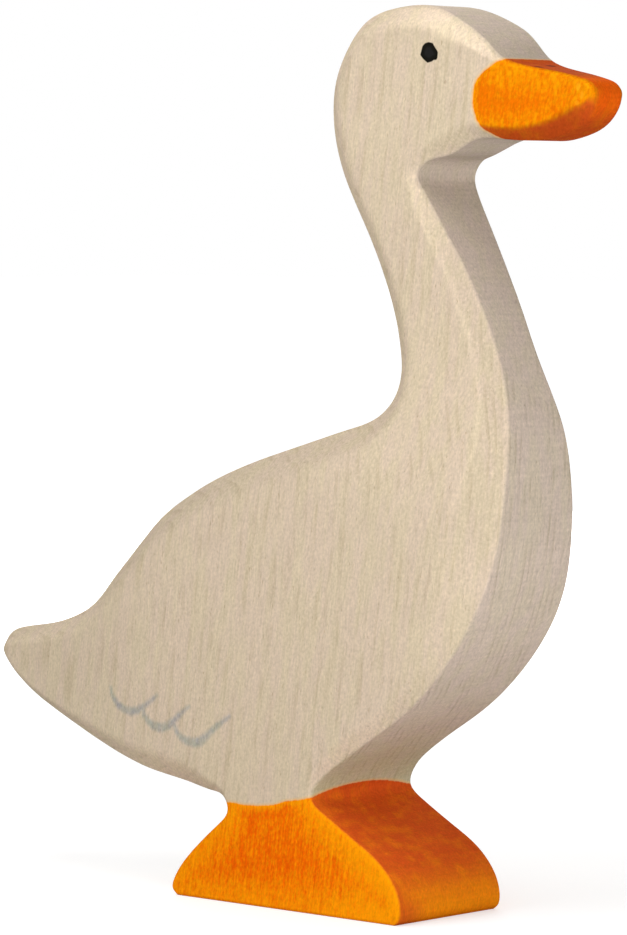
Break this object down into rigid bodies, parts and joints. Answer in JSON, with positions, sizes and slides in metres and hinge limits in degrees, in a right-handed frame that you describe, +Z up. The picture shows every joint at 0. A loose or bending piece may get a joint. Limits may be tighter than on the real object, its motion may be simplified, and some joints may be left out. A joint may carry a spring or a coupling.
{
  "type": "goose figurine",
  "caption": "Flat standing goose sawn from one board of pale wood, with sanded facets, a stained beak and feet, a painted eye and painted wing scallops.",
  "frame": {"origin": "under the middle of the figure, on the surface that its foot stands on", "axes": "+X towards the beak, +Y through the board's thickness, to the goose's left side, +Z up"},
  "size_m": [0.1403, 0.0274, 0.16],
  "materials": {
    "wood": "sanded smooth, thin white stain, orange stain on beak and feet, matt"
  },
  "bodies": {
    "root": {"goose": "wood"}
  },
  "joints": []
}
